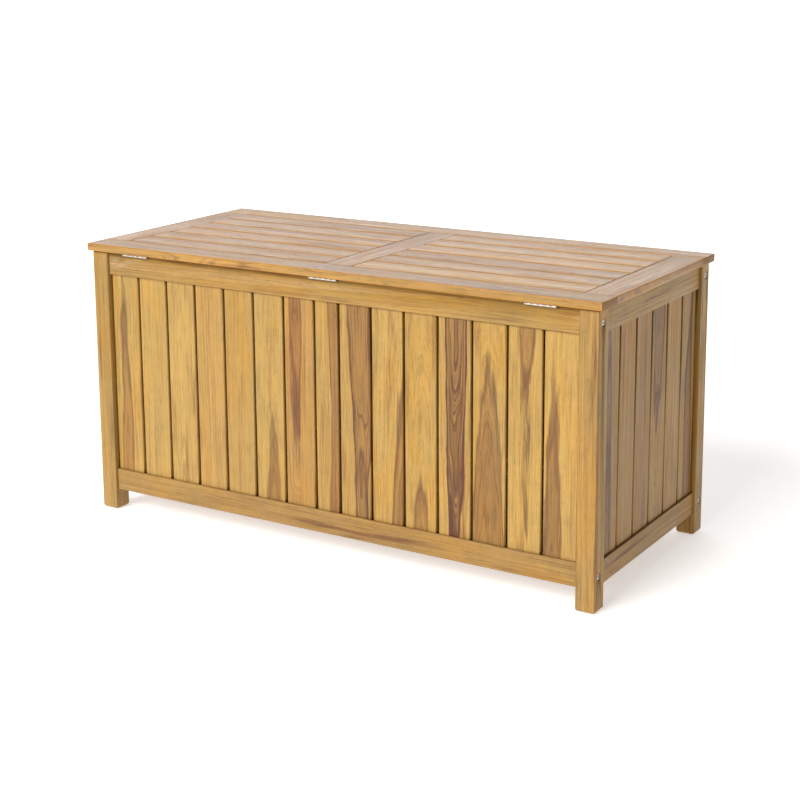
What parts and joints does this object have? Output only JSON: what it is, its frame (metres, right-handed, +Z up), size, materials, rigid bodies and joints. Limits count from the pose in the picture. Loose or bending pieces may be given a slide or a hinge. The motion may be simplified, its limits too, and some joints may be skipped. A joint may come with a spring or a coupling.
{
  "type": "deck storage box",
  "caption": "Slatted hardwood deck storage box with corner posts, frame rails, slatted floor and a slatted lid hinged along the back.",
  "frame": {"origin": "on the ground under the middle of the lid", "axes": "+X along the box; +Y across it, from the hinged back to the opening front; +Z up"},
  "size_m": [1.2, 0.544, 0.59],
  "materials": {
    "body_wood": "oiled acacia, golden brown with darker streaks",
    "lid_wood": "oiled acacia, pale, slightly glossy",
    "floor_wood": "plain sawn acacia",
    "hinge_steel": "pale zinc plate, satin",
    "bolt_steel": "zinc plate"
  },
  "bodies": {
    "box": {"back_bottom_rail": "body_wood", "back_slats": "body_wood", "back_top_rail": "body_wood", "bolt_back_left_bottom": "bolt_steel", "bolt_back_left_top": "bolt_steel", "bolt_back_right_bottom": "bolt_steel", "bolt_back_right_top": "bolt_steel", "bolt_front_left_bottom": "bolt_steel", "bolt_front_left_top": "bolt_steel", "bolt_front_right_bottom": "bolt_steel", "bolt_front_right_top": "bolt_steel", "floor_bearer_left": "floor_wood", "floor_bearer_middle": "floor_wood", "floor_bearer_right": "floor_wood", "floor_board_1": "floor_wood", "floor_board_2": "floor_wood", "floor_board_3": "floor_wood", "floor_board_4": "floor_wood", "floor_board_5": "floor_wood", "floor_board_6": "floor_wood", "front_bottom_rail": "body_wood", "front_slats": "body_wood", "front_top_rail": "body_wood", "hinge_left_box_leaf": "hinge_steel", "hinge_left_pin": "hinge_steel", "hinge_middle_box_leaf": "hinge_steel", "hinge_middle_pin": "hinge_steel", "hinge_right_box_leaf": "hinge_steel", "hinge_right_pin": "hinge_steel", "left_bottom_rail": "body_wood", "left_slats": "body_wood", "left_top_rail": "body_wood", "post_back_left": "body_wood", "post_back_right": "body_wood", "post_front_left": "body_wood", "post_front_right": "body_wood", "right_bottom_rail": "body_wood", "right_slats": "body_wood", "right_top_rail": "body_wood"},
    "lid": {"hinge_left_lid_leaf": "hinge_steel", "hinge_middle_lid_leaf": "hinge_steel", "hinge_right_lid_leaf": "hinge_steel", "lid_back_rail": "lid_wood", "lid_front_rail": "lid_wood", "lid_left_stile": "lid_wood", "lid_middle_stile": "lid_wood", "lid_right_stile": "lid_wood", "lid_slat_left_1": "lid_wood", "lid_slat_left_2": "lid_wood", "lid_slat_left_3": "lid_wood", "lid_slat_left_4": "lid_wood", "lid_slat_left_5": "lid_wood", "lid_slat_left_6": "lid_wood", "lid_slat_right_1": "lid_wood", "lid_slat_right_2": "lid_wood", "lid_slat_right_3": "lid_wood", "lid_slat_right_4": "lid_wood", "lid_slat_right_5": "lid_wood", "lid_slat_right_6": "lid_wood"}
  },
  "joints": [
    {"name": "lid_hinge", "type": "hinge", "parent": "box", "child": "lid", "pos_m": [0, -0.265, 0.5712], "axis": [1, 0, 0], "range_deg": [0, 115]}
  ]
}
